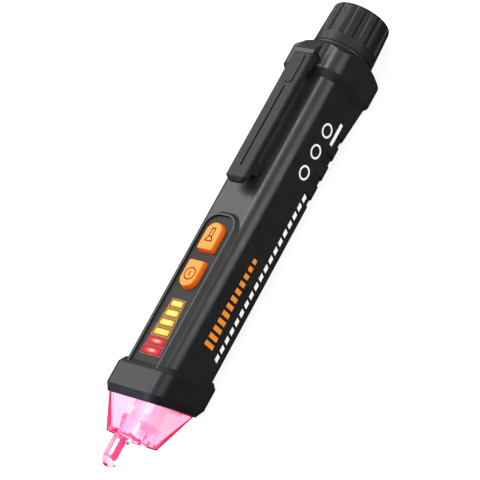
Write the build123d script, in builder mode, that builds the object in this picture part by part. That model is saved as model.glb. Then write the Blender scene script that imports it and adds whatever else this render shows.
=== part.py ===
from build123d import *
from math import cos, radians, sin, tan
import os

# Pen-shaped non contact voltage tester, lying on its back.
# X runs from the sensing tip (-X) to the battery cap (+X), +Z is the front with the keys and
# the clip, and the back flats of both collars lie at Z = 0.
# A station is a distance along the pen from the tip. A height is measured from the pen's axis.

# ---- driving dimensions (mm) ----
LENGTH = 160.0
COLLAR_W = 23.0
COLLAR_R = 4.2
AXIS_Z = COLLAR_W / 2
BODY_W = 20.0
BODY_R = 3.7
WALL = 1.6

# nose
BLADE_W = 5.2
BLADE_T = 2.0
SLEEVE_T = 1.8
SLEEVE_GAP = 0.05
BLADE_HEIGHT = 3.7
BLADE_ROOT = 16.0
SLOT_W = 3.0
SLOT_START = 2.1
SLOT_END = 9.6
CONE_TIP = 10.65
CONE_TIP_SLANT = 8.5
CONE_TIP_W = 13.0
CONE_TIP_R = 3.2
CONE_WALL = 1.6
SKIRT_END = 29.0
SPIGOT_END = 32.4
SPIGOT_WALL = 1.2
TORCH_HEIGHT = -3.2
TORCH_BORE_R = 2.7
TORCH_TUBE_R = 3.4
TORCH_TUBE_END = 17.0
FIT = 0.1
OVERRUN = 8.0  # blanks and cutters reach this far past the faces that trim them

# front collar, cut by two slanted planes
MOUTH = 22.8
COLLAR_BACK = 34.5
COLLAR_SLANT = 16.0
MOUTH_CHAMFER = (1.5, 2.6)
BACK_CHAMFER = (1.4, 1.9)

# barrel
BARREL_START = SKIRT_END + FIT
FLARE_START = 132.6
BACK_FLARE_START = 121.6
REAR_COLLAR_START = 135.0
REAR_COLLAR_END = 145.0
ROUND_END_R = 10.3
ROUND_CONE = (7.44, 9.84)
NECK_END = 152.0
CAVITY_END = 134.0
CAVITY_W = BODY_W - 2 * WALL
CAVITY_R = BODY_R - WALL
GRIP_STATIONS = (99.5, 106.5, 113.6, 120.3)
GRIP_LENGTH = 2.8
GRIP_DEPTH = 0.5
GRIP_TOP = -4.0

# control panel
PANEL_START = 29.6
PANEL_END = 81.4
PANEL_W = 11.6
PANEL_CORNER_R = 4.4
RIM_TOP = BODY_W / 2 + 1.0
RIM_BASE = BODY_W / 2 - 1.0
RIM_LIP = 0.5
RIM_SLOPE = 47.0
INLAY_T = 0.8
INLAY_TOP = BODY_W / 2 + 0.3
INLAY_BOTTOM = INLAY_TOP - INLAY_T

# bar graph
BAR_COUNT = 6
RED_BARS = 2
BAR_START = 33.6
BAR_END = 52.6
BAR_PITCH = (BAR_END - BAR_START) / BAR_COUNT
WINDOW_W = (8.7, 5.7)
BAR_W = (7.0, 4.1)
BAR_LENGTH = 1.8
BAR_GAP = 0.05
BAR_PROUD = 0.08

# keys
KEY_W = 6.8
KEY_CORNER_R = 1.0
POWER_KEY = (65.7, 56.0)
TORCH_KEY = (68.7, 78.7)
KEY_TOP = INLAY_TOP + 1.6
KEY_DRAFT = 18.0
KEY_EDGE_R = 0.3
KEY_CLEARANCE = 0.1
FLANGE_OVERHANG = 0.6
FLANGE_T = 0.7
KEY_TRAVEL = 0.4

# electronics
BOARD_T = 0.8
BOARD_TOP = 6.3
BOARD_W = 12.6
BOARD_START = 25.0
BOARD_END = 82.0
HEAD_BOARD_START = 24.0
HEAD_BOARD_W = 13.6
SWITCH_W = 4.5
SWITCH_H = 1.2
PLUNGER_R = 1.1
PLUNGER_BOTTOM = BOARD_TOP + 0.7
PLUNGER_TOP = BOARD_TOP + 1.65

# batteries, AAA
CELL_R = 5.25
CELL_LENGTH = 44.5
CELL_NUB = (1.9, 0.8)
CELL_DROP = 1.0
CELL_START = 59.0
TUBE_R = (5.6, 6.3)
TUBE_START = 57.5
TUBE_FLANGES = (59.2, 96.0, 132.6)
TUBE_FLANGE_T = 1.4
NECK_BORE_R = 5.7
CONTACT_T = 0.4
STRIP_W = 3.0
STRIP_T = 0.3
STRIP_BOTTOM = 5.5

# cap and its screw thread
CAP_START = 145.85
CAP_R = (10.0, 9.4)
CAP_END_FILLET = 1.0
CAP_BASE_FILLET = 0.3
CAP_BORE_R = 8.2
CAP_SHOULDER = 152.8
CAP_INNER_R = 7.0
CAP_ROOF = 157.6
CAP_PLATE_R = 7.9
FLUTES = 14
FLUTE_START = 149.2
FLUTE_R = 1.5
FLUTE_DEPTH = 0.45
NECK_R = 7.4
PITCH = 2.0
THREAD_H = 0.6
THREAD_W = (1.0, 0.6)
THREAD_EMBED = 0.15
NECK_THREAD = (146.8, 4.5)
CAP_THREAD = (147.8, 3.0)
SEAL_R = (8.15, 9.85)
SEAL_START = 145.0
SEAL_T = 0.8

# clip, pivoting on its round heel
CLIP_TIP = 91.5
CLIP_W = 8.0
CLIP_TOP = 15.2
CLIP_T = 2.0
HEEL = (136.5, 13.45)
HEEL_R = 1.75
HEEL_CLEARANCE = 0.1
BOSS_FILLET = 2.0
BOSS_ROOT = 1.0
BOSS_SLOPE = (6.5, 3.6)  # how far the boss falls towards the cap
PAD_START = 126.3
PAD_W = 3.6
PAD_H = 0.35
GROOVE_W = 0.7
GROOVE_DEPTH = 0.4
GROOVE_START = 96.5
PAD_R = 1.0
CLIP_NOSE = 1.2
CLIP_CORNER = 1.6
CLIP_BEVEL = 0.45
CLIP_BUMP = (95.0, 96.0, 98.5, 99.5)
CLIP_BUMP_H = 10.6
CLIP_NECK = 132.0
HEEL_FOOT = 134.0

# small parts
BAFFLE_CELL = (2.4, 3.2)
CHIP_LED = (1.6, 2.4, 0.7)
SWITCH_CORNER_R = 0.3
HEAD_BOARD_R = 1.5
CHIP_T = 1.2
CHIPS = (((38.0, 0.0), 8.0, 4.0), ((29.5, -2.0), 3.0, 3.0))
PASSIVE = (1.6, 0.8, 0.6)
PASSIVE_CENTRE = (38.0, 0.0)
PASSIVE_GRID = (3.0, 8.4)
PASSIVE_COUNT = (4, 2)
BUZZER_STATION = 49.5
BUZZER_R = 4.5
BUZZER_H = 4.0
BUZZER_PORT_R = 0.8
ANTENNA = (3.0, 0.4)
TORCH_LED = (TORCH_HEIGHT, (0,), 2.5, 14.8, 2.9, 1.0)
ALARM_LED = (3.0, (-3.0, 3.0), 1.5, 18.5, 1.8, 0.8)
STRIP_TAB_TOP = 7.0
CELL_EDGE_R = 0.4
SEAL_EDGE_R = 0.2
SPRING_R = 3.2
SPRING_WIRE_R = 0.3
SPRING_TURNS = 3


# ---- planes and outlines used all over ----
def station(distance):
    """X position of a section this far from the tip."""
    return distance - LENGTH / 2


def across(distance):
    """Plane across the pen: local X is +Y, local Y is the height."""
    return Plane(origin=(station(distance), 0, AXIS_Z), x_dir=(0, 1, 0), z_dir=(1, 0, 0))


def slanted(distance, angle):
    """Plane across the pen, leaning so that its front edge is nearer to the tip."""
    normal = (cos(radians(angle)), 0, sin(radians(angle)))
    return Plane(origin=(station(distance), 0, AXIS_Z), x_dir=(0, 1, 0), z_dir=normal)


def level(height):
    """Plane parallel to the front face: local X is the station, local Y is +Y."""
    return Plane(origin=(station(0), 0, AXIS_Z + height), x_dir=(1, 0, 0), z_dir=(0, 0, 1))


SIDE = Plane(origin=(station(0), 0, AXIS_Z), x_dir=(1, 0, 0), z_dir=(0, -1, 0))
PEN_AXIS = Axis((station(0), 0, AXIS_Z), (1, 0, 0))


def rounded_square(width, radius, slant=0.0):
    """Square with round corners, stretched so that it stays square seen along the pen."""
    RectangleRounded(width, width / cos(radians(slant)), radius)


def ring(outer, inner):
    """Flat ring in the current sketch."""
    Circle(outer)
    Circle(inner, mode=Mode.SUBTRACT)


def trapezoid(start, end, width_start, width_end):
    """Symmetric trapezoid along the pen, in a level sketch."""
    corners = [(start, -width_start / 2), (end, -width_end / 2),
               (end, width_end / 2), (start, width_start / 2)]
    Polygon(*corners, align=None)


def panel_outline(grow=0.0):
    """Panel shape: square at the collar, round corners at the far end."""
    start = PANEL_START - grow
    end = PANEL_END + grow
    width = PANEL_W + 2 * grow
    corner = PANEL_CORNER_R + grow
    with Locations(((start + end - corner) / 2, 0)):
        Rectangle(end - corner - start, width)
    round_part = 3 * corner
    with Locations((end - round_part / 2, 0)):
        RectangleRounded(round_part, width, corner)


def key_outline(key, grow=0.0):
    """Key shape with one flat end and one round end, in a level sketch."""
    flat_end, round_end = key
    direction = 1 if round_end > flat_end else -1
    centre = round_end - direction * KEY_W / 2
    flat = flat_end - direction * grow
    corner = KEY_CORNER_R + grow
    flat_part = 3 * corner
    with Locations((flat + direction * flat_part / 2, 0)):
        RectangleRounded(flat_part, KEY_W + 2 * grow, corner)
    with Locations(((flat + direction * corner + centre) / 2, 0)):
        Rectangle(abs(centre - flat) - corner, KEY_W + 2 * grow)
    with Locations((centre, 0)):
        Circle(KEY_W / 2 + grow)


def key_centre(key):
    """Station of a key's middle."""
    return sum(key) / 2


def taper_width(widths, distance):
    """Width of the bar graph at a station, from its widths at the tip end and the cap end."""
    share = (distance - BAR_START) / (BAR_END - BAR_START)
    return widths[0] + (widths[1] - widths[0]) * share


def bar_outline(index, grow=0.0):
    """One bar of the graph, in a level sketch."""
    middle = BAR_START + (index + 0.5) * BAR_PITCH
    start = middle - BAR_LENGTH / 2 - grow
    end = middle + BAR_LENGTH / 2 + grow
    trapezoid(start, end, taper_width(BAR_W, start) + 2 * grow, taper_width(BAR_W, end) + 2 * grow)


def save(builder, name):
    """Label a finished piece and write it."""
    builder.part.label = name
    export_step(builder.part, f"parts/{name}.step")


os.makedirs("parts", exist_ok=True)

# ---- front collar ----
with BuildPart() as front_collar:
    with BuildSketch(across(MOUTH - OVERRUN)):
        rounded_square(COLLAR_W, COLLAR_R)
    extrude(amount=COLLAR_BACK - MOUTH + 2 * OVERRUN)
    split(bisect_by=slanted(MOUTH, COLLAR_SLANT), keep=Keep.TOP)
    split(bisect_by=slanted(COLLAR_BACK, COLLAR_SLANT), keep=Keep.BOTTOM)
    mouth_face = front_collar.faces().sort_by(Axis.X)[0]
    chamfer(mouth_face.edges(), *MOUTH_CHAMFER, reference=mouth_face)
    back_face = front_collar.faces().sort_by(Axis.X)[-1]
    chamfer(back_face.edges(), *BACK_CHAMFER, reference=back_face)
    with BuildSketch(across(MOUTH - OVERRUN)):
        rounded_square(BODY_W + FIT, BODY_R)
    extrude(amount=COLLAR_BACK - MOUTH + 2 * OVERRUN, mode=Mode.SUBTRACT)
save(front_collar, "front_collar")

# ---- nose cone with the sensing blade and the torch tunnel ----
with BuildPart() as nose_cone:
    with BuildSketch(across(MOUTH - OVERRUN)):
        rounded_square(BODY_W, BODY_R)
    extrude(amount=SKIRT_END - MOUTH + OVERRUN)
    split(bisect_by=slanted(MOUTH, COLLAR_SLANT), keep=Keep.TOP)
    with BuildSketch(slanted(CONE_TIP, CONE_TIP_SLANT)):
        rounded_square(CONE_TIP_W, CONE_TIP_R, CONE_TIP_SLANT)
    with BuildSketch(slanted(MOUTH, COLLAR_SLANT)):
        rounded_square(BODY_W - 2 * FIT, BODY_R, COLLAR_SLANT)
    loft(ruled=True)
    with BuildSketch(across(SKIRT_END)):
        rounded_square(CAVITY_W - 2 * FIT, CAVITY_R)
    extrude(amount=SPIGOT_END - SKIRT_END)
    # hollow inside
    with BuildSketch(slanted(CONE_TIP + CONE_WALL, CONE_TIP_SLANT)):
        rounded_square(CONE_TIP_W - 2 * CONE_WALL, CONE_TIP_R - CONE_WALL, CONE_TIP_SLANT)
    with BuildSketch(slanted(MOUTH, COLLAR_SLANT)):
        rounded_square(BODY_W - 2 * CONE_WALL, BODY_R - CONE_WALL, COLLAR_SLANT)
    loft(ruled=True, mode=Mode.SUBTRACT)
    with BuildSketch(slanted(MOUTH, COLLAR_SLANT)):
        rounded_square(BODY_W - 2 * CONE_WALL, BODY_R - CONE_WALL, COLLAR_SLANT)
    with BuildSketch(across(SPIGOT_END)):
        rounded_square(CAVITY_W - 2 * FIT - 2 * SPIGOT_WALL, CAVITY_R - SPIGOT_WALL)
    loft(ruled=True, mode=Mode.SUBTRACT)
    # torch tunnel behind the blade
    with BuildSketch(across(CONE_TIP + CONE_WALL)):
        with Locations((0, TORCH_HEIGHT)):
            Circle(TORCH_TUBE_R)
    extrude(amount=TORCH_TUBE_END - CONE_TIP - CONE_WALL)
    with BuildSketch(across(CONE_TIP - OVERRUN)):
        with Locations((0, TORCH_HEIGHT)):
            Circle(TORCH_BORE_R)
    extrude(amount=TORCH_TUBE_END - CONE_TIP + 2 * OVERRUN, mode=Mode.SUBTRACT)
    # blade with a slot right through it
    with BuildSketch(SIDE):
        with Locations((BLADE_W / 2, BLADE_HEIGHT)):
            Circle(BLADE_W / 2)
        with Locations(((BLADE_W / 2 + BLADE_ROOT) / 2, BLADE_HEIGHT)):
            Rectangle(BLADE_ROOT - BLADE_W / 2, BLADE_W)
    extrude(amount=BLADE_T / 2, both=True)
    with BuildSketch(SIDE):
        with Locations(((SLOT_START + SLOT_END) / 2, BLADE_HEIGHT)):
            SlotOverall(SLOT_END - SLOT_START, SLOT_W)
    extrude(amount=BLADE_T, both=True, mode=Mode.SUBTRACT)
save(nose_cone, "nose_cone")

# ---- coloured sleeve that fills the blade's slot ----
with BuildPart() as probe_sleeve:
    with BuildSketch(SIDE):
        with Locations(((SLOT_START + SLOT_END) / 2, BLADE_HEIGHT)):
            SlotOverall(SLOT_END - SLOT_START - 2 * SLEEVE_GAP, SLOT_W - 2 * SLEEVE_GAP)
    extrude(amount=SLEEVE_T / 2, both=True)
save(probe_sleeve, "probe_sleeve")

# ---- screw ridge on the barrel's neck ----
with BuildPart() as neck_thread:
    with BuildLine() as neck_helix:
        Helix(PITCH, NECK_THREAD[1], NECK_R,
              center=(station(NECK_THREAD[0]), 0, AXIS_Z), direction=(1, 0, 0))
    helix_start = neck_helix.line @ 0
    outward = helix_start - Vector(station(NECK_THREAD[0]), 0, AXIS_Z)
    with BuildSketch(Plane(origin=helix_start, x_dir=outward, z_dir=neck_helix.line % 0)):
        ridge = [(-THREAD_EMBED, -THREAD_W[0] / 2), (THREAD_H, -THREAD_W[1] / 2),
                 (THREAD_H, THREAD_W[1] / 2), (-THREAD_EMBED, THREAD_W[0] / 2)]
        Polygon(*ridge, align=None)
    sweep(path=neck_helix.line, is_frenet=True)

# ---- barrel ----
with BuildPart() as barrel:
    with BuildSketch(across(BARREL_START)):
        rounded_square(BODY_W, BODY_R)
    extrude(amount=REAR_COLLAR_START - BARREL_START)
    # collar at the cap end, with a short flare all round and a long one on the back
    with BuildSketch(across(REAR_COLLAR_START)):
        rounded_square(COLLAR_W, COLLAR_R)
    extrude(amount=REAR_COLLAR_END - REAR_COLLAR_START)
    with BuildSketch(across(FLARE_START)):
        rounded_square(BODY_W, BODY_R)
    with BuildSketch(across(REAR_COLLAR_START)):
        rounded_square(COLLAR_W, COLLAR_R)
    loft(ruled=True)
    with BuildSketch(across(BACK_FLARE_START)):
        rounded_square(BODY_W, BODY_R)
    with BuildSketch(across(REAR_COLLAR_START)):
        back_growth = (COLLAR_W - BODY_W) / 2
        with Locations((0, -back_growth / 2)):
            RectangleRounded(BODY_W, BODY_W + back_growth, BODY_R)
    loft(ruled=True)
    # boss that holds the clip's heel, blended down to the collar
    with BuildSketch(across(REAR_COLLAR_START)):
        with BuildLine():
            foot = CLIP_W / 2 + BOSS_FILLET
            arc_top = COLLAR_W / 2 + BOSS_FILLET
            for side in (1, -1):
                Line((0, CLIP_TOP), (side * CLIP_W / 2, CLIP_TOP))
                Line((side * CLIP_W / 2, CLIP_TOP), (side * CLIP_W / 2, arc_top))
                inset = BOSS_FILLET * sin(radians(45))
                ThreePointArc((side * CLIP_W / 2, arc_top), (side * (foot - inset), arc_top - inset),
                              (side * foot, COLLAR_W / 2))
                Line((side * foot, COLLAR_W / 2), (side * foot, COLLAR_W / 2 - BOSS_ROOT))
                Line((side * foot, COLLAR_W / 2 - BOSS_ROOT), (0, COLLAR_W / 2 - BOSS_ROOT))
        make_face()
    extrude(amount=REAR_COLLAR_END - REAR_COLLAR_START)
    with BuildSketch(SIDE):
        slope_start = (REAR_COLLAR_END - BOSS_SLOPE[0], CLIP_TOP)
        slope_end = (REAR_COLLAR_END, CLIP_TOP - BOSS_SLOPE[1])
        Polygon(slope_start, slope_end, (REAR_COLLAR_END, CLIP_TOP), align=None)
    extrude(amount=CLIP_W, both=True, mode=Mode.SUBTRACT)
    with BuildSketch(level(COLLAR_W / 2 + FIT / 2)):
        with Locations((HEEL[0] - OVERRUN / 2, 0)):
            Rectangle(OVERRUN, CLIP_W + 3 * HEEL_CLEARANCE)
    extrude(amount=CLIP_TOP, mode=Mode.SUBTRACT)
    with BuildSketch(SIDE):
        with Locations(HEEL):
            Circle(HEEL_R + HEEL_CLEARANCE)
    extrude(amount=COLLAR_W, both=True, mode=Mode.SUBTRACT)
    # round end: a wide cone takes the corners off
    with BuildSketch(SIDE):
        tip_point = (REAR_COLLAR_END, ROUND_END_R)
        far_point = (REAR_COLLAR_END - ROUND_CONE[0], ROUND_END_R + ROUND_CONE[1])
        Polygon(tip_point, (REAR_COLLAR_END, far_point[1]), far_point, align=None)
    revolve(axis=PEN_AXIS, mode=Mode.SUBTRACT)
    # neck with its screw ridge
    with BuildSketch(across(REAR_COLLAR_END)):
        Circle(NECK_R)
    extrude(amount=NECK_END - REAR_COLLAR_END)
    add(neck_thread.part)
    # raised rim of the control panel, trimmed by the front collar
    with BuildSketch(level(RIM_BASE)):
        panel_outline(RIM_LIP + (RIM_TOP - RIM_BASE) * tan(radians(RIM_SLOPE)))
    extrude(amount=RIM_TOP - RIM_BASE, taper=RIM_SLOPE)
    with BuildSketch(level(INLAY_BOTTOM)):
        panel_outline()
    extrude(amount=COLLAR_W, mode=Mode.SUBTRACT)
    add(front_collar.part, mode=Mode.SUBTRACT)
    split(bisect_by=across(BARREL_START), keep=Keep.TOP)
    # hollow inside, openings for the keys and the bar graph
    with BuildSketch(across(BARREL_START)):
        rounded_square(CAVITY_W, CAVITY_R)
    extrude(amount=CAVITY_END - BARREL_START, mode=Mode.SUBTRACT)
    with BuildSketch(across(CAVITY_END)):
        with Locations((0, -CELL_DROP)):
            Circle(NECK_BORE_R)
    extrude(amount=NECK_END - CAVITY_END, mode=Mode.SUBTRACT)
    with BuildSketch(level(CAVITY_W / 2 - FIT)):
        for key in (POWER_KEY, TORCH_KEY):
            key_outline(key, FLANGE_OVERHANG + KEY_CLEARANCE)
        trapezoid(BAR_START, BAR_END, *WINDOW_W)
    extrude(amount=BODY_W, mode=Mode.SUBTRACT)
    # passage for the return strip above the cells
    with BuildSketch(across(CAVITY_END)):
        with Locations((0, STRIP_BOTTOM + STRIP_T / 2)):
            Rectangle(STRIP_W + 2 * FIT, STRIP_T + 2 * FIT)
    extrude(amount=NECK_END - CAVITY_END, mode=Mode.SUBTRACT)
    # grip grooves round the back
    for groove in GRIP_STATIONS:
        with BuildSketch(across(groove - GRIP_LENGTH / 2)):
            rounded_square(BODY_W, BODY_R)
            RectangleRounded(BODY_W - 2 * GRIP_DEPTH, BODY_W - 2 * GRIP_DEPTH, BODY_R - GRIP_DEPTH,
                             mode=Mode.SUBTRACT)
            with Locations((0, GRIP_TOP + BODY_W / 2)):
                Rectangle(BODY_W, BODY_W, mode=Mode.SUBTRACT)
        extrude(amount=GRIP_LENGTH, mode=Mode.SUBTRACT)
save(barrel, "barrel")

# ---- control panel inlay ----
with BuildPart() as control_panel:
    with BuildSketch(level(INLAY_BOTTOM)):
        panel_outline(-BAR_GAP)
    extrude(amount=INLAY_T)
    add(front_collar.part, mode=Mode.SUBTRACT)
    with BuildSketch(level(INLAY_BOTTOM)):
        for key in (POWER_KEY, TORCH_KEY):
            key_outline(key, KEY_CLEARANCE)
        trapezoid(BAR_START, BAR_END, *WINDOW_W)
    extrude(amount=INLAY_T, mode=Mode.SUBTRACT)
save(control_panel, "control_panel")

# ---- bar graph: dark window, light bars, LEDs and the baffle between them ----
with BuildPart() as bargraph_window:
    with BuildSketch(level(CAVITY_W / 2)):
        trapezoid(BAR_START + BAR_GAP, BAR_END - BAR_GAP,
                  WINDOW_W[0] - 2 * BAR_GAP, WINDOW_W[1] - 2 * BAR_GAP)
    extrude(amount=INLAY_TOP - CAVITY_W / 2)
    with BuildSketch(level(CAVITY_W / 2)):
        for bar in range(BAR_COUNT):
            bar_outline(bar, BAR_GAP)
    extrude(amount=BODY_W, mode=Mode.SUBTRACT)
save(bargraph_window, "bargraph_window")

for bar_name, bar_numbers in (("red_bars", range(RED_BARS)), ("yellow_bars", range(RED_BARS, BAR_COUNT))):
    with BuildPart() as light_bars:
        with BuildSketch(level(CAVITY_W / 2)):
            for bar in bar_numbers:
                bar_outline(bar)
        extrude(amount=INLAY_TOP + BAR_PROUD - CAVITY_W / 2)
    save(light_bars, bar_name)

with BuildPart() as led_baffle:
    with BuildSketch(level(BOARD_TOP)):
        trapezoid(BAR_START + FIT, BAR_END - FIT, WINDOW_W[0] - 2 * FIT, WINDOW_W[1] - 2 * FIT)
        for bar in range(BAR_COUNT):
            with Locations((BAR_START + (bar + 0.5) * BAR_PITCH, 0)):
                Rectangle(BAFFLE_CELL[0], BAFFLE_CELL[1], mode=Mode.SUBTRACT)
    extrude(amount=CAVITY_W / 2 - FIT - BOARD_TOP)
save(led_baffle, "led_baffle")

with BuildPart() as bargraph_leds:
    with BuildSketch(level(BOARD_TOP)):
        for bar in range(BAR_COUNT):
            with Locations((BAR_START + (bar + 0.5) * BAR_PITCH, 0)):
                Rectangle(*CHIP_LED[:2])
    extrude(amount=CHIP_LED[2])
save(bargraph_leds, "bargraph_leds")

# ---- keys with the switches under them ----
for key_name, key in (("power", POWER_KEY), ("torch", TORCH_KEY)):
    with BuildPart() as button:
        with BuildSketch(level(INLAY_BOTTOM - KEY_CLEARANCE - FLANGE_T)):
            key_outline(key, FLANGE_OVERHANG)
        extrude(amount=FLANGE_T)
        with BuildSketch(level(INLAY_BOTTOM - KEY_CLEARANCE)):
            key_outline(key)
        extrude(amount=INLAY_TOP - INLAY_BOTTOM + KEY_CLEARANCE)
        with BuildSketch(level(INLAY_TOP)):
            key_outline(key)
        extrude(amount=KEY_TOP - INLAY_TOP, taper=KEY_DRAFT)
        fillet(button.faces().sort_by(Axis.Z)[-1].edges(), KEY_EDGE_R)
        with BuildSketch(level(PLUNGER_TOP)):
            with Locations((key_centre(key), 0)):
                Circle(PLUNGER_R)
        extrude(amount=INLAY_BOTTOM - KEY_CLEARANCE - PLUNGER_TOP)
    save(button, f"{key_name}_button")

    with BuildPart() as plunger:
        with BuildSketch(level(PLUNGER_BOTTOM)):
            with Locations((key_centre(key), 0)):
                Circle(PLUNGER_R)
        extrude(amount=PLUNGER_TOP - PLUNGER_BOTTOM)
    save(plunger, f"{key_name}_plunger")

    with BuildPart() as switch:
        with BuildSketch(level(BOARD_TOP)):
            with Locations((key_centre(key), 0)):
                Rectangle(SWITCH_W, SWITCH_W)
        extrude(amount=SWITCH_H)
        fillet(switch.edges().filter_by(Axis.Z), SWITCH_CORNER_R)
        with BuildSketch(level(PLUNGER_BOTTOM - KEY_TRAVEL - FIT)):
            with Locations((key_centre(key), 0)):
                Circle(PLUNGER_R + FIT)
        extrude(amount=SWITCH_H, mode=Mode.SUBTRACT)
    save(switch, f"{key_name}_switch")

# ---- boards and what is soldered to them ----
with BuildPart() as main_board:
    with BuildSketch(level(BOARD_TOP - BOARD_T)):
        with Locations(((BOARD_START + BOARD_END) / 2, 0)):
            Rectangle(BOARD_END - BOARD_START, BOARD_W)
    extrude(amount=BOARD_T)
save(main_board, "main_board")

with BuildPart() as head_board:
    with BuildSketch(across(HEAD_BOARD_START)):
        rounded_square(HEAD_BOARD_W, HEAD_BOARD_R)
    extrude(amount=BOARD_START - HEAD_BOARD_START)
save(head_board, "head_board")

with BuildPart() as ic_chips:
    with BuildSketch(level(BOARD_TOP - BOARD_T - CHIP_T)):
        for place, length, width in CHIPS:
            with Locations(place):
                Rectangle(length, width)
    extrude(amount=CHIP_T)
save(ic_chips, "ic_chips")

with BuildPart() as passives:
    with BuildSketch(level(BOARD_TOP - BOARD_T - PASSIVE[2])):
        with Locations(PASSIVE_CENTRE):
            with GridLocations(*PASSIVE_GRID, *PASSIVE_COUNT):
                Rectangle(*PASSIVE[:2])
    extrude(amount=PASSIVE[2])
save(passives, "passives")

with BuildPart() as buzzer:
    with BuildSketch(level(BOARD_TOP - BOARD_T - BUZZER_H)):
        with Locations((BUZZER_STATION, 0)):
            Circle(BUZZER_R)
    extrude(amount=BUZZER_H)
    with BuildSketch(level(BOARD_TOP - BOARD_T - BUZZER_H)):
        with Locations((BUZZER_STATION, 0)):
            Circle(BUZZER_PORT_R)
    extrude(amount=BUZZER_H / 2, mode=Mode.SUBTRACT)
save(buzzer, "buzzer")

with BuildPart() as probe_antenna:
    with BuildSketch(SIDE):
        with Locations(((BLADE_ROOT + HEAD_BOARD_START) / 2, BLADE_HEIGHT)):
            Rectangle(HEAD_BOARD_START - BLADE_ROOT, ANTENNA[0])
    extrude(amount=ANTENNA[1] / 2, both=True)
save(probe_antenna, "probe_antenna")


# lamps: (height, places across the pen, radius, dome station, flange radius, flange thickness)
for lamp_name, lamp in (("torch_led", TORCH_LED), ("alarm_leds", ALARM_LED)):
    height, places, radius, dome_station, flange_r, flange_t = lamp
    with BuildPart() as round_led:
        for place in places:
            with BuildSketch(across(dome_station + radius)):
                with Locations((place, height)):
                    Circle(radius)
            extrude(amount=HEAD_BOARD_START - dome_station - radius)
            with BuildSketch(across(HEAD_BOARD_START - flange_t)):
                with Locations((place, height)):
                    Circle(flange_r)
            extrude(amount=flange_t)
            with Locations((station(dome_station + radius), place, AXIS_Z + height)):
                Sphere(radius)
    save(round_led, lamp_name)

# ---- battery tube, cells and contacts ----
with BuildPart() as battery_tube:
    with BuildSketch(across(TUBE_START)):
        with Locations((0, -CELL_DROP)):
            Circle(TUBE_R[1])
    extrude(amount=CAVITY_END - TUBE_START)
    for flange_start in TUBE_FLANGES:
        with BuildSketch(across(flange_start)):
            rounded_square(CAVITY_W - FIT, CAVITY_R)
            with Locations((0, TUBE_R[1] - CELL_DROP + BODY_W / 2)):
                Rectangle(BODY_W, BODY_W, mode=Mode.SUBTRACT)
        extrude(amount=TUBE_FLANGE_T)
    with BuildSketch(across(CELL_START - CONTACT_T)):
        with Locations((0, -CELL_DROP)):
            Circle(TUBE_R[0])
    extrude(amount=CAVITY_END - CELL_START + CONTACT_T, mode=Mode.SUBTRACT)
    with BuildSketch(across(CELL_START - CONTACT_T)):
        with Locations((0, BODY_W / 4)):
            Rectangle(STRIP_W + 2 * FIT, BODY_W / 2)
    extrude(amount=CONTACT_T + FIT / 2, mode=Mode.SUBTRACT)
save(battery_tube, "battery_tube")

with BuildPart() as front_contact:
    with BuildSketch(across(CELL_START - CONTACT_T)):
        with Locations((0, -CELL_DROP)):
            Circle(CELL_R)
        with Locations((0, (BOARD_TOP - BOARD_T) / 2)):
            Rectangle(STRIP_W, BOARD_TOP - BOARD_T)
    extrude(amount=CONTACT_T)
save(front_contact, "front_contact")

with BuildPart() as return_strip:
    with BuildSketch(level(STRIP_BOTTOM)):
        with Locations(((BOARD_END + NECK_END + STRIP_T) / 2, 0)):
            Rectangle(NECK_END + STRIP_T - BOARD_END, STRIP_W)
    extrude(amount=STRIP_T)
    with BuildSketch(across(NECK_END)):
        with Locations((0, (STRIP_BOTTOM + STRIP_TAB_TOP) / 2)):
            Rectangle(STRIP_W, STRIP_TAB_TOP - STRIP_BOTTOM)
    extrude(amount=STRIP_T)
save(return_strip, "return_strip")

for cell_name, cell_start in (("cell_front", CELL_START), ("cell_rear", CELL_START + CELL_LENGTH)):
    with BuildPart() as cell:
        with BuildSketch(across(cell_start)):
            with Locations((0, -CELL_DROP)):
                Circle(CELL_NUB[0])
        extrude(amount=CELL_NUB[1])
        with BuildSketch(across(cell_start + CELL_NUB[1])):
            with Locations((0, -CELL_DROP)):
                Circle(CELL_R)
        extrude(amount=CELL_LENGTH - CELL_NUB[1])
        fillet(cell.faces().sort_by(Axis.X)[-1].edges(), CELL_EDGE_R)
    save(cell, cell_name)

# ---- seal, spring contact and cap ----
with BuildPart() as cap_seal:
    with BuildSketch(across(SEAL_START)):
        ring(SEAL_R[1], SEAL_R[0])
    extrude(amount=SEAL_T)
    fillet(cap_seal.edges().filter_by(GeomType.CIRCLE).group_by(SortBy.RADIUS)[-1], SEAL_EDGE_R)
save(cap_seal, "cap_seal")

with BuildPart() as cap_contact_plate:
    with BuildSketch(across(CAP_SHOULDER - CONTACT_T)):
        Circle(CAP_PLATE_R)
    extrude(amount=CONTACT_T)
save(cap_contact_plate, "cap_contact_plate")

with BuildPart() as cap_spring:
    spring_start = CELL_START + 2 * CELL_LENGTH + SPRING_WIRE_R + FIT
    spring_end = CAP_SHOULDER - CONTACT_T - SPRING_WIRE_R
    with BuildLine() as spring_helix:
        Helix((spring_end - spring_start) / SPRING_TURNS, spring_end - spring_start, SPRING_R,
              center=(station(spring_start), 0, AXIS_Z), direction=(1, 0, 0))
    spring_point = spring_helix.line @ 0
    spring_out = spring_point - Vector(station(spring_start), 0, AXIS_Z)
    with BuildSketch(Plane(origin=spring_point, x_dir=spring_out, z_dir=spring_helix.line % 0)):
        Circle(SPRING_WIRE_R)
    sweep(path=spring_helix.line, is_frenet=True)
save(cap_spring, "cap_spring")

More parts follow.
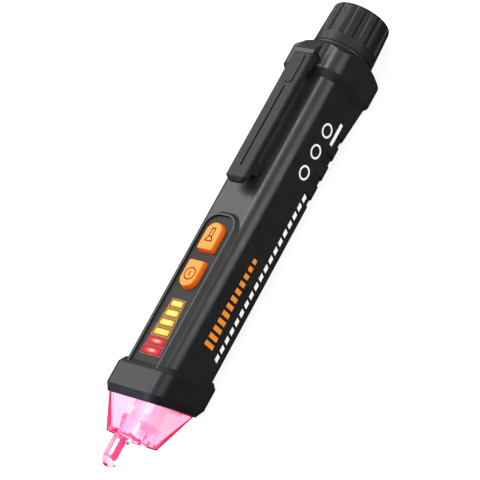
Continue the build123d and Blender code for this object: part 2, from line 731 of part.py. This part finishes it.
with BuildPart() as cap_thread:
    with BuildLine() as cap_helix:
        Helix(PITCH, CAP_THREAD[1], CAP_BORE_R,
              center=(station(CAP_THREAD[0]), 0, AXIS_Z), direction=(1, 0, 0))
    helix_start = cap_helix.line @ 0
    outward = helix_start - Vector(station(CAP_THREAD[0]), 0, AXIS_Z)
    with BuildSketch(Plane(origin=helix_start, x_dir=outward, z_dir=cap_helix.line % 0)):
        ridge = [(THREAD_EMBED, -THREAD_W[0] / 2), (-THREAD_H, -THREAD_W[1] / 2),
                 (-THREAD_H, THREAD_W[1] / 2), (THREAD_EMBED, THREAD_W[0] / 2)]
        Polygon(*ridge, align=None)
    sweep(path=cap_helix.line, is_frenet=True)

with BuildPart() as battery_cap:
    with BuildSketch(across(CAP_START)):
        Circle(CAP_R[0])
    with BuildSketch(across(LENGTH)):
        Circle(CAP_R[1])
    loft(ruled=True)
    fillet(battery_cap.faces().sort_by(Axis.X)[-1].edges(), CAP_END_FILLET)
    fillet(battery_cap.faces().sort_by(Axis.X)[0].edges(), CAP_BASE_FILLET)
    with BuildSketch(across(CAP_START)):
        Circle(CAP_BORE_R)
    extrude(amount=CAP_SHOULDER - CAP_START, mode=Mode.SUBTRACT)
    with BuildSketch(across(CAP_SHOULDER)):
        Circle(CAP_INNER_R)
    extrude(amount=CAP_ROOF - CAP_SHOULDER, mode=Mode.SUBTRACT)
    with BuildSketch(across(FLUTE_START)):
        with PolarLocations(CAP_R[1] - FLUTE_DEPTH + FLUTE_R, FLUTES, start_angle=180 / FLUTES):
            Circle(FLUTE_R)
    extrude(amount=LENGTH - FLUTE_START, mode=Mode.SUBTRACT)
    add(cap_thread.part)
save(battery_cap, "battery_cap")

# ---- clip ----
with BuildPart() as clip:
    with BuildSketch(SIDE):
        underside = CLIP_TOP - CLIP_T
        heel_bottom = HEEL[1] - HEEL_R
        outline = [(CLIP_TIP, underside + CLIP_NOSE), (CLIP_TIP + CLIP_NOSE, CLIP_TOP), (HEEL[0], CLIP_TOP),
                   (HEEL[0], heel_bottom), (HEEL_FOOT, heel_bottom), (CLIP_NECK, underside),
                   (CLIP_BUMP[3], underside), (CLIP_BUMP[2], CLIP_BUMP_H), (CLIP_BUMP[1], CLIP_BUMP_H),
                   (CLIP_BUMP[0], underside), (CLIP_TIP, underside)]
        Polygon(*outline, align=None)
        with Locations(HEEL):
            Circle(HEEL_R)
    extrude(amount=CLIP_W / 2, both=True)
    long_edges = clip.faces().filter_by(Axis.Z).sort_by(Axis.Z)[-1].edges().filter_by(Axis.X)
    chamfer(long_edges, CLIP_BEVEL)
    chamfer(clip.faces().sort_by(Axis.X)[0].edges().filter_by(Axis.Z), CLIP_CORNER)
    with BuildSketch(level(CLIP_TOP)):
        with Locations(((PAD_START + HEEL[0]) / 2, 0)):
            RectangleRounded(HEEL[0] - PAD_START, PAD_W, PAD_R)
    extrude(amount=PAD_H)
    with BuildSketch(level(CLIP_TOP - GROOVE_DEPTH)):
        with Locations(((GROOVE_START + PAD_START - CLIP_NOSE) / 2, 0)):
            Rectangle(PAD_START - CLIP_NOSE - GROOVE_START, GROOVE_W)
    extrude(amount=CLIP_T, mode=Mode.SUBTRACT)
save(clip, "clip")
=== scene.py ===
import math

import bmesh
import bpy
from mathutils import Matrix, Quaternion, Vector


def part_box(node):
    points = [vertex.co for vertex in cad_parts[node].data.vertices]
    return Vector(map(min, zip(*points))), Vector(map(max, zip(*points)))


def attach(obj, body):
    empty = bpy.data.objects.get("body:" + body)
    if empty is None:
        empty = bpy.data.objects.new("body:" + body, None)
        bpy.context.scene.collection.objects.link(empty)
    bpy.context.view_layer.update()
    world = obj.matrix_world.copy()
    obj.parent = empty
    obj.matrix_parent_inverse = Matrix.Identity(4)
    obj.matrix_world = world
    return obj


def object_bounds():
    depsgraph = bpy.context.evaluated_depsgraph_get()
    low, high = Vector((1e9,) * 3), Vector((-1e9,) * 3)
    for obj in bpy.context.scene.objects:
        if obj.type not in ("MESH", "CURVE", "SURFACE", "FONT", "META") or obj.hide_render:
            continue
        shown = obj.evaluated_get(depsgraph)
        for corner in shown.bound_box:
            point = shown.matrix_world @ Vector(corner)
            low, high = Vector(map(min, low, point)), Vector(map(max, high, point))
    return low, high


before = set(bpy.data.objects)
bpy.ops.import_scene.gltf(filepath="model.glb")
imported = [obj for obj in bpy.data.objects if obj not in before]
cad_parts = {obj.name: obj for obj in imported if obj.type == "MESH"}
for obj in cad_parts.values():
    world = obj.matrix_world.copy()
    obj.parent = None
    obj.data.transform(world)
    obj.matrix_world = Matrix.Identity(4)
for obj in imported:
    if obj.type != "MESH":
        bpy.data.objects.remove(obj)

CAD_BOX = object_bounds()

# ---- places taken from the frame ----
# A station is a distance along the pen from the sensing tip, a height one above the pen's axis.
TIP_X = CAD_BOX[0].x
AXIS_Z = (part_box("battery_cap")[0].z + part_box("battery_cap")[1].z) / 2
SIDE_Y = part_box("nose_cone")[0].y  # the printed side, where cone and barrel are equally wide
MM = 0.001


def place(station, across, height):
    """Point in the frame from a station, a place across the pen and a height, in millimetres."""
    return Vector((TIP_X + station * MM, across * MM, AXIS_Z + height * MM))


# ---- camera ----
CAMERA_AZIMUTH = -22.2
CAMERA_ELEVATION = 41.9
CAMERA_ROLL = -46.0
CAMERA_DISTANCE = 0.7425
CAMERA_LENS = 187.5
CAMERA_AIM = Vector((-0.0008, 0.0, AXIS_Z + 0.00046))


def make_camera():
    """Long lens on the print side, a little towards the tip, rolled so that the cap points up right."""
    azimuth, elevation = math.radians(CAMERA_AZIMUTH), math.radians(CAMERA_ELEVATION)
    back = Vector((math.sin(azimuth) * math.cos(elevation), -math.cos(azimuth) * math.cos(elevation),
                   math.sin(elevation)))
    data = bpy.data.cameras.new("camera")
    data.lens = CAMERA_LENS
    data.clip_start = 0.01
    camera = bpy.data.objects.new("camera", data)
    camera.location = CAMERA_AIM + back * CAMERA_DISTANCE
    camera.rotation_mode = "QUATERNION"
    roll = Quaternion((0, 0, 1), math.radians(CAMERA_ROLL))
    camera.rotation_quaternion = back.to_track_quat("Z", "Y") @ roll
    bpy.context.scene.collection.objects.link(camera)
    bpy.context.scene.camera = camera


# ---- light, floor ----
def area_light(name, location, aim, size, power, colour=(1, 1, 1)):
    """Soft box at a place, facing a point."""
    data = bpy.data.lights.new(name, "AREA")
    data.shape = "RECTANGLE"
    data.size, data.size_y = size
    data.energy = power
    data.color = colour
    light = bpy.data.objects.new(name, data)
    light.location = location
    light.rotation_mode = "QUATERNION"
    light.rotation_quaternion = (Vector(aim) - Vector(location)).to_track_quat("-Z", "X")
    bpy.context.scene.collection.objects.link(light)


def make_studio():
    """White floor that the pen lies on, soft boxes over the front face and along the print side."""
    scene = bpy.context.scene
    scene.view_settings.view_transform = "Standard"
    world = bpy.data.worlds.new("studio")
    scene.world = world
    world.use_nodes = True
    tree = world.node_tree
    background = tree.nodes["Background"]
    coords = tree.nodes.new("ShaderNodeTexCoord")
    split = tree.nodes.new("ShaderNodeSeparateXYZ")
    ramp = tree.nodes.new("ShaderNodeValToRGB")
    height = tree.nodes.new("ShaderNodeMapRange")
    height.inputs["From Min"].default_value = -1
    tree.links.new(coords.outputs["Generated"], split.inputs[0])
    tree.links.new(split.outputs["Z"], height.inputs["Value"])
    tree.links.new(height.outputs[0], ramp.inputs[0])
    tree.links.new(ramp.outputs[0], background.inputs["Color"])
    ramp.color_ramp.elements[0].position = 0.40
    ramp.color_ramp.elements[0].color = (0.05, 0.05, 0.05, 1)
    ramp.color_ramp.elements[1].position = 0.95
    ramp.color_ramp.elements[1].color = (0.8, 0.8, 0.82, 1)
    background.inputs["Strength"].default_value = 1.0

    mesh = bpy.data.meshes.new("floor")
    half = 3.0
    corners = [(-half, -half, 0), (half, -half, 0), (half, half, 0), (-half, half, 0)]
    mesh.from_pydata(corners, [], [(0, 1, 2, 3)])
    floor = bpy.data.objects.new("floor", mesh)
    scene.collection.objects.link(floor)
    floor.visible_glossy = False
    floor.visible_diffuse = False
    material = bpy.data.materials.new("floor")
    material.use_nodes = True
    shader = material.node_tree.nodes["Principled BSDF"]
    shader.inputs["Base Color"].default_value = (0.3, 0.3, 0.3, 1)
    shader.inputs["Roughness"].default_value = 0.8
    shader.inputs["Emission Color"].default_value = (1, 1, 1, 1)
    shader.inputs["Emission Strength"].default_value = 0.86
    mesh.materials.append(material)

    area_light("front_box", (0.12, 0.45, 0.45), (0, 0, 0), (0.6, 0.4), 2.4)
    area_light("top_strip", (0.17, 0.16, 0.6), (0, 0, 0), (0.5, 0.09), 2.2)
    area_light("side_strip", (0.2, -0.62, 0.14), (0, 0, 0), (0.7, 0.10), 2.6)
    area_light("mouth_glow", place(11, -3, 19), place(24, -1, 10), (0.03, 0.012), 0.003, (0.5, 0.66, 1.0))


# ---- materials ----
class Surface:
    """Small helper round one Principled material, in object coordinates measured in metres."""

    def __init__(self, name, **values):
        self.material = bpy.data.materials.new(name)
        self.material.use_nodes = True
        self.tree = self.material.node_tree
        self.shader = self.tree.nodes["Principled BSDF"]
        self.coords = self.tree.nodes.new("ShaderNodeTexCoord").outputs["Object"]
        for key, value in values.items():
            self.set(key.replace("_", " ").title(), value)

    def set(self, socket, value):
        names = {"Ior": "IOR", "Specular": "Specular IOR Level"}
        self.shader.inputs[names.get(socket, socket)].default_value = value

    def node(self, kind, **properties):
        made = self.tree.nodes.new(kind)
        for key, value in properties.items():
            setattr(made, key, value)
        return made

    def link(self, source, target):
        self.tree.links.new(source, target)

    def noise(self, size, detail=3.0, stretch=(1, 1, 1)):
        """Noise whose grains are about size metres."""
        mapping = self.node("ShaderNodeMapping")
        mapping.inputs["Scale"].default_value = [s / size for s in stretch]
        self.link(self.coords, mapping.inputs["Vector"])
        made = self.node("ShaderNodeTexNoise")
        made.inputs["Scale"].default_value = 1.0
        made.inputs["Detail"].default_value = detail
        self.link(mapping.outputs[0], made.inputs["Vector"])
        return made.outputs["Fac"]

    def span(self, value, low, high, start=0.3, end=0.7):
        """Value from start to end, spread from low to high."""
        made = self.node("ShaderNodeMapRange")
        made.inputs["From Min"].default_value = start
        made.inputs["From Max"].default_value = end
        made.inputs["To Min"].default_value = low
        made.inputs["To Max"].default_value = high
        self.link(value, made.inputs["Value"])
        return made.outputs[0]

    def colours(self, value, *stops):
        """Colour ramp with stops of (position, colour)."""
        ramp = self.node("ShaderNodeValToRGB")
        elements = ramp.color_ramp.elements
        while len(elements) < len(stops):
            elements.new(0.5)
        for element, (position, colour) in zip(elements, stops):
            element.position = position
            element.color = (*colour, 1)
        self.link(value, ramp.inputs[0])
        return ramp.outputs["Color"]

    def bump(self, value, height):
        """Bump of a height in metres."""
        made = self.node("ShaderNodeBump")
        made.inputs["Distance"].default_value = height
        made.inputs["Strength"].default_value = 1.0
        self.link(value, made.inputs["Height"])
        self.link(made.outputs[0], self.shader.inputs["Normal"])

    def vary(self, socket, value):
        self.link(value, self.shader.inputs[socket])

    def maths(self, operation, first, second=0.0):
        """Result of one sum on outputs or plain numbers."""
        made = self.node("ShaderNodeMath", operation=operation)
        for socket, value in zip(made.inputs, (first, second)):
            if isinstance(value, bpy.types.NodeSocket):
                self.link(value, socket)
            else:
                socket.default_value = value
        return made.outputs[0]

    def axes(self):
        """X, Y and Z of the object coordinates, in metres."""
        split = self.node("ShaderNodeSeparateXYZ")
        self.link(self.coords, split.inputs[0])
        return split.outputs


def scaled(colour, factor):
    return tuple(c * factor for c in colour)


def moulded_plastic(name, colour, roughness, grain=0.00022, **values):
    """Moulded plastic with a fine spark-eroded grain, cloudy gloss and slight colour drift."""
    surface = Surface(name, **values)
    clouds = surface.noise(0.006, 2.0)
    dark, light = scaled(colour, 0.88), scaled(colour, 1.12)
    surface.vary("Base Color", surface.colours(clouds, (0.3, dark), (0.7, light)))
    fine = surface.noise(grain, 2.0)
    mix = surface.node("ShaderNodeMath", operation="MULTIPLY_ADD")
    mix.inputs[1].default_value = 0.35
    surface.link(fine, mix.inputs[0])
    surface.link(clouds, mix.inputs[2])
    surface.vary("Roughness", surface.span(mix.outputs[0], roughness - 0.06, roughness + 0.06, 0.4, 0.95))
    surface.bump(fine, 0.000006)
    return surface.material


def clear_pink():
    """Clear pink moulding lit from inside: pale where thin, crimson where the light runs along the wall."""
    surface = Surface("clear_pink", roughness=0.06, ior=1.42, transmission_weight=1.0)
    surface.set("Emission Color", (1.0, 0.0, 0.22, 1))
    surface.set("Emission Strength", 0.13)
    x, _, _ = surface.axes()
    blade_root = place(11.0, 0, 0).x
    haze = surface.span(x, 0.03, 0.17, blade_root, blade_root + 3 * MM)
    along = surface.span(x, 0.0, 1.0, blade_root - MM, blade_root)
    surface.vary("Base Color", surface.colours(along, (0.0, (1.0, 0.80, 0.86)), (1.0, (1.0, 0.97, 0.98))))
    swirl = surface.noise(0.004, 1.0, (0.3, 1, 1))
    surface.vary("Roughness", surface.maths("ADD", haze, surface.span(swirl, -0.01, 0.02)))
    surface.bump(swirl, 0.000006)
    volume = surface.node("ShaderNodeVolumeAbsorption")
    volume.inputs["Color"].default_value = (1.0, 0.08, 0.46, 1)
    volume.inputs["Density"].default_value = 105.0
    surface.link(volume.outputs[0], surface.tree.nodes["Material Output"].inputs["Volume"])
    return surface.material


def lit_bar(name, edge, middle, hot, strength):
    """Diffuser bars lit from below, one LED each: a hot spot mid-bar, deep colour at the rim."""
    surface = Surface(name, roughness=0.35, specular=0.1)
    x, y, _ = surface.axes()
    step = surface.maths("DIVIDE", surface.maths("SUBTRACT", x, place(BAR_START, 0, 0).x), BAR_PITCH * MM)
    along = surface.maths("SUBTRACT", surface.maths("FRACT", step), 0.5)
    along = surface.maths("DIVIDE", along, 0.34)
    across = surface.maths("DIVIDE", y, 3.4 * MM)
    squares = [surface.maths("POWER", surface.maths("ABSOLUTE", part), 2.0) for part in (along, across)]
    reach = surface.maths("SQRT", surface.maths("ADD", *squares))
    colour = surface.colours(reach, (0.12, hot), (0.62, middle), (1.0, edge))
    cloud = surface.noise(0.0006)
    surface.vary("Base Color", surface.colours(cloud, (0.3, scaled(middle, 0.5)), (0.7, scaled(middle, 0.6))))
    surface.vary("Emission Color", colour)
    surface.set("Emission Strength", strength)
    return surface.material


def lit_window():
    """Dark window that glows a little round the bars: red near the first two, olive near the rest."""
    surface = Surface("lit_window", roughness=0.32, specular=0.1)
    x, _, _ = surface.axes()
    share = surface.maths("SUBTRACT", x, place(BAR_START, 0, 0).x)
    share = surface.maths("DIVIDE", share, GRAPH_LENGTH * MM)
    glow = surface.colours(share, (0.0, (0.10, 0.004, 0.006)), (0.30, (0.12, 0.006, 0.006)),
                           (0.36, (0.085, 0.07, 0.012)), (1.0, (0.10, 0.085, 0.015)))
    surface.vary("Emission Color", glow)
    surface.set("Emission Strength", 0.75)
    clouds = surface.noise(0.002, 2.0)
    dark, light = (0.02, 0.018, 0.012), (0.03, 0.026, 0.018)
    surface.vary("Base Color", surface.colours(clouds, (0.3, dark), (0.7, light)))
    surface.bump(clouds, 0.000006)
    return surface.material


def pink_sleeve():
    """Solid pink plastic in the blade's slot, with light running down it."""
    surface = Surface("pink_sleeve", roughness=0.3, subsurface_weight=0.3, subsurface_scale=0.002)
    streaks = surface.noise(0.0015, 2.0, (0.2, 1, 1))
    surface.vary("Base Color", surface.colours(streaks, (0.3, (0.95, 0.09, 0.22)), (0.7, (1.0, 0.16, 0.32))))
    surface.set("Emission Color", (1.0, 0.06, 0.2, 1))
    surface.set("Emission Strength", 0.25)
    surface.bump(streaks, 0.00001)
    return surface.material


def key_plastic():
    """Soft orange key: deeper on its sides as painted shade, paler on its top as painted light."""
    surface = Surface("orange_key", subsurface_weight=0.08, subsurface_scale=0.001, specular=0.2)
    _, _, z = surface.axes()
    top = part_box("power_button")[1].z
    share = surface.span(z, 0.0, 1.0, top - 0.7 * MM, top - 0.05 * MM)
    # Painted light and shade: colour runs from the shaded deep orange of the sides to the lit pale orange of
    # the top.
    surface.vary("Base Color", surface.colours(share, (0.0, KEY_SIDE_PAINTED_SHADE), (1.0, KEY_TOP_PAINTED_LIGHT)))
    fine = surface.noise(0.0003, 2.0)
    surface.vary("Roughness", surface.span(fine, 0.4, 0.55))
    surface.bump(fine, 0.000005)
    return surface.material


def led_glow(name, colour, strength):
    """Clear LED epoxy that is lit."""
    surface = Surface(name, roughness=0.12)
    swirl = surface.noise(0.0008, 1.0)
    tone = surface.colours(swirl, (0.3, scaled(colour, 0.9)), (0.7, colour))
    surface.vary("Base Color", tone)
    surface.vary("Emission Color", tone)
    surface.set("Emission Strength", strength)
    return surface.material


def circuit_board(name, colour):
    """Board with a weave under its lacquer and a maze of paler tracks."""
    surface = Surface(name, roughness=0.35, coat_weight=0.4)
    bricks = surface.node("ShaderNodeTexBrick")
    bricks.inputs["Scale"].default_value = 420.0
    bricks.inputs["Mortar Size"].default_value = 0.06
    bricks.inputs["Color1"].default_value = (*colour, 1)
    bricks.inputs["Color2"].default_value = (*scaled(colour, 0.8), 1)
    bricks.inputs["Mortar"].default_value = (*scaled(colour, 1.5), 1)
    surface.link(surface.coords, bricks.inputs["Vector"])
    surface.vary("Base Color", bricks.outputs["Color"])
    surface.bump(bricks.outputs["Fac"], 0.00003)
    return surface.material


def metal(name, colour, roughness):
    """Metal strip or wire with fine drawing lines along the pen."""
    surface = Surface(name, metallic=1.0)
    lines = surface.noise(0.00015, 3.0, (0.1, 1, 1))
    surface.vary("Base Color", surface.colours(lines, (0.3, scaled(colour, 0.85)), (0.7, colour)))
    surface.vary("Roughness", surface.span(lines, roughness - 0.08, roughness + 0.1))
    surface.bump(lines, 0.000004)
    return surface.material


def cell_label():
    """Shrink-wrapped cell: dark sleeve with copper bands about 28 mm apart."""
    surface = Surface("cell_label", roughness=0.22, coat_weight=0.5)
    wave = surface.node("ShaderNodeTexWave", wave_type="BANDS", bands_direction="X")
    wave.inputs["Scale"].default_value = 11.236
    surface.link(surface.coords, wave.inputs["Vector"])
    tone = surface.colours(wave.outputs["Fac"], (0.78, (0.02, 0.03, 0.06)), (0.8, (0.55, 0.28, 0.1)))
    surface.vary("Base Color", tone)
    surface.bump(surface.noise(0.0012, 2.0), 0.00001)
    return surface.material


def ink(name, colour, **values):
    """Pad-printed ink with slightly uneven cover."""
    surface = Surface(name, roughness=0.5, **values)
    cover = surface.noise(0.0003, 3.0)
    surface.vary("Base Color", surface.colours(cover, (0.25, scaled(colour, 0.85)), (0.6, colour)))
    surface.bump(cover, 0.000003)
    return surface.material


BLACK = (0.022, 0.022, 0.023)
# Key colours: a pale top with painted light, deeper sides with painted shade.
KEY_TOP_PAINTED_LIGHT = (1.0, 0.29, 0.035)
KEY_SIDE_PAINTED_SHADE = (1.0, 0.14, 0.0)
BAR_START = 33.6
BAR_COUNT = 6
GRAPH_LENGTH = 19.0
BAR_PITCH = GRAPH_LENGTH / BAR_COUNT


def dress_frame():
    """Gives every CAD node its material."""
    body = moulded_plastic("black_body", BLACK, 0.36, specular=0.34)
    collar = moulded_plastic("black_collar", scaled(BLACK, 0.95), 0.34, specular=0.2)
    clip = moulded_plastic("black_clip", BLACK, 0.4, specular=0.13)
    cap = moulded_plastic("black_cap", scaled(BLACK, 0.8), 0.36, specular=0.22)
    panel = moulded_plastic("panel_dark", (0.030, 0.030, 0.027), 0.42, grain=0.00035, specular=0.08)
    board = circuit_board("board_green", (0.015, 0.16, 0.05))
    steel = metal("spring_steel", (0.6, 0.6, 0.62), 0.28)
    copper = metal("copper_strip", (0.8, 0.42, 0.22), 0.3)
    chip = moulded_plastic("chip_black", (0.02, 0.02, 0.022), 0.55)
    key = key_plastic()
    cells = cell_label()
    chosen = {
        "barrel": body, "front_collar": collar, "clip": clip, "battery_cap": cap,
        "nose_cone": clear_pink(),
        "probe_sleeve": pink_sleeve(),
        "control_panel": panel,
        "bargraph_window": lit_window(),
        "red_bars": lit_bar("red_bars", (0.28, 0.0, 0.008), (0.60, 0.008, 0.018), (1.0, 0.62, 0.45), 0.95),
        "yellow_bars": lit_bar("yellow_bars", (0.38, 0.22, 0.008), (0.76, 0.50, 0.03),
                               (1.0, 0.92, 0.42), 0.95),
        "power_button": key, "torch_button": key,
        "cap_seal": moulded_plastic("seal_rubber", (0.012, 0.012, 0.012), 0.5),
        "probe_antenna": metal("tinned_strip", (0.92, 0.88, 0.9), 0.3), "return_strip": copper,
        "torch_led": led_glow("torch_led", (0.95, 0.97, 1.0), 0.1),
        "alarm_leds": led_glow("alarm_leds", (0.80, 0.86, 1.0), 0.8),
        "head_board": moulded_plastic("head_board_white", (0.80, 0.55, 0.66), 0.4),
        "main_board": board,
        "bargraph_leds": led_glow("chip_leds", (1.0, 0.9, 0.6), 0.5),
        "led_baffle": chip, "ic_chips": chip, "power_plunger": chip, "torch_plunger": chip,
        "power_switch": steel, "torch_switch": steel, "front_contact": steel,
        "cap_spring": steel, "cap_contact_plate": steel,
        "passives": moulded_plastic("ceramic", (0.42, 0.3, 0.2), 0.5),
        "buzzer": moulded_plastic("buzzer_black", (0.025, 0.025, 0.027), 0.45),
        "battery_tube": moulded_plastic("tube_grey", (0.2, 0.21, 0.23), 0.45),
        "cell_front": cells, "cell_rear": cells,
    }
    for name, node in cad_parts.items():
        node.data.materials.clear()
        node.data.materials.append(chosen.get(name, body))


# ---- printed marks and icons: thin raised pieces ----
INK_T = 0.03 * MM
FRAME_LENGTH = 2.75        # outline round one bar, along the pen
FRAME_WIDTHS = (8.4, 5.3)  # the same across it, at the graph's tip end and its key end
FRAME_LINE = 0.13
ORANGE_BARS = 12
WHITE_DASHES = 19


def prism(name, outlines, thickness, to_frame, material, body):
    """Thin piece from flat outlines: lists of (u, v) points, placed in the frame by to_frame(u, v, w)."""
    work = bmesh.new()
    for outline in outlines:
        base = [work.verts.new(to_frame(u, v, 0)) for u, v in outline]
        top = [work.verts.new(to_frame(u, v, thickness)) for u, v in outline]
        work.faces.new(top)
        work.faces.new(base[::-1])
        for i in range(len(outline)):
            j = (i + 1) % len(outline)
            work.faces.new((base[i], base[j], top[j], top[i]))
    bmesh.ops.recalc_face_normals(work, faces=work.faces)
    mesh = bpy.data.meshes.new(name)
    work.to_mesh(mesh)
    work.free()
    mesh.materials.append(material)
    piece = bpy.data.objects.new(name, mesh)
    bpy.context.scene.collection.objects.link(piece)
    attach(piece, body)


def stroke(points, width, closed=False):
    """Outlines of a line of a given width through points: one quad for each run, ends lapped."""
    quads = []
    count = len(points) if closed else len(points) - 1
    for i in range(count):
        a, b = Vector(points[i]), Vector(points[(i + 1) % len(points)])
        run = (b - a).normalized()
        side = Vector((-run.y, run.x)) * width / 2
        lap = run * width / 2 if closed or 0 < i else run * 0
        tail = run * width / 2 if closed or i < count - 1 else run * 0
        quads.append([tuple(a - lap * 0.5 - side), tuple(b + tail * 0.5 - side), tuple(b + tail * 0.5 + side),
                      tuple(a - lap * 0.5 + side)])
    return quads


def ring_band(centre, radius, width, steps=48):
    """Outlines of a circular line, as quads."""
    quads = []
    for i in range(steps):
        a, b = (2 * math.pi * k / steps for k in (i, i + 1))
        inner, outer = radius - width / 2, radius + width / 2
        quads.append([(centre[0] + r * math.cos(t), centre[1] + r * math.sin(t))
                      for r, t in ((inner, a), (outer, a), (outer, b), (inner, b))])
    return quads


def on_key(station, top):
    """Frame maker for marks on a key's top face: u along the pen, v across, in millimetres."""
    return lambda u, v, w: place(station + u, v, 0) + Vector((0, 0, top - AXIS_Z + w))


def make_icons():
    """On/off ring with its bar, and a torch, printed on the keys."""
    brown = ink("icon_ink", (0.022, 0.007, 0.004), specular=0.1)
    power_low, power_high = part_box("power_button")
    torch_low, torch_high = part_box("torch_button")
    power_at = ((power_low.x + power_high.x) / 2 - TIP_X) / MM - 0.2
    torch_at = ((torch_low.x + torch_high.x) / 2 - TIP_X) / MM
    line = 0.38
    marks = ring_band((0, 0), 1.95, line) + stroke([(-0.8, 0), (0.8, 0)], line)
    prism("power_icon", marks, INK_T, on_key(power_at, power_high.z), brown, "power_key")
    handle = [(-0.2, 0.6), (2.6, 0.6), (2.6, -0.6), (-0.2, -0.6)]
    head = [(-0.2, 0.6), (-1.7, 1.4), (-1.7, -1.4), (-0.2, -0.6)]
    marks = stroke(handle, line, closed=True) + stroke(head, line, closed=True)
    prism("torch_icon", marks, INK_T, on_key(torch_at, torch_high.z), brown, "torch_key")


def bar_frame(index, length, widths, line):
    """Outline round one bar of the graph, wider towards the tip."""
    middle = BAR_START + (index + 0.5) * BAR_PITCH
    corners = []
    for u, sign in ((middle - length / 2, -1), (middle + length / 2, -1), (middle + length / 2, 1),
                    (middle - length / 2, 1)):
        share = (u - BAR_START) / GRAPH_LENGTH
        corners.append((u, sign * (widths[0] + (widths[1] - widths[0]) * share) / 2))
    return stroke(corners, line, closed=True)


def make_bar_frames():
    """Thin lit outline round every bar: crimson round the first two, orange round the rest."""
    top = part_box("bargraph_window")[1].z
    red = ink("red_outline", (0.7, 0.01, 0.04), emission_color=(0.5, 0.0, 0.05, 1), emission_strength=0.3)
    orange = ink("orange_outline", (0.8, 0.25, 0.02), emission_color=(0.6, 0.12, 0.02, 1),
                 emission_strength=0.3)
    for name, numbers, material in (("red_outlines", (0, 1), red), ("orange_outlines", (2, 3, 4, 5), orange)):
        marks = []
        for index in numbers:
            marks += bar_frame(index, FRAME_LENGTH, FRAME_WIDTHS, FRAME_LINE)
        prism(name, marks, INK_T, on_key(0, top), material, "housing")


def make_side_marks():
    """Generic print on the side face: orange bars, a white dashed line, three rings and a short bar, the inks
    with a painted glow.
    """
    def on_side(u, v, w):
        return place(u, 0, v) + Vector((0, SIDE_Y - w, 0))
    # The orange and white inks carry emission: a painted glow that makes the print read brighter than its
    # lighting gives.
    orange = ink("orange_ink", (1.0, 0.32, 0.03), emission_color=(1.0, 0.26, 0.02, 1), emission_strength=0.3)
    white = ink("white_ink", (0.95, 0.95, 0.95), emission_color=(1.0, 1.0, 1.0, 1), emission_strength=0.38)
    bars = []
    for i in range(ORANGE_BARS):
        start = 44 + i * 2.6
        length = 1.5
        half = 2.1 * (1 - 0.055 * i)
        bars.append([(start, 0.6 - half), (start + length, 0.6 - half), (start + length, 0.6 + half),
                     (start, 0.6 + half)])
    prism("orange_scale", bars, INK_T, on_side, orange, "housing")
    dashes = []
    for i in range(WHITE_DASHES):
        start = 42 + i * 3.1
        dashes.append([(start, -5.6), (start + 2.0, -5.6), (start + 2.5, -4.2), (start + 0.5, -4.2)])
    prism("white_dashes", dashes, INK_T, on_side, white, "housing")
    rings = []
    for station in (105, 112.5, 120):
        rings += ring_band((station, 0.2), 2.0, 0.6)
    bar = [[(117.5, -4.6), (125.0, -4.6), (125.0, -3.4), (117.5, -3.4)]]
    prism("white_rings", rings + bar, INK_T, on_side, white, "housing")


make_camera()
make_studio()
dress_frame()
make_icons()
make_bar_frames()
make_side_marks()
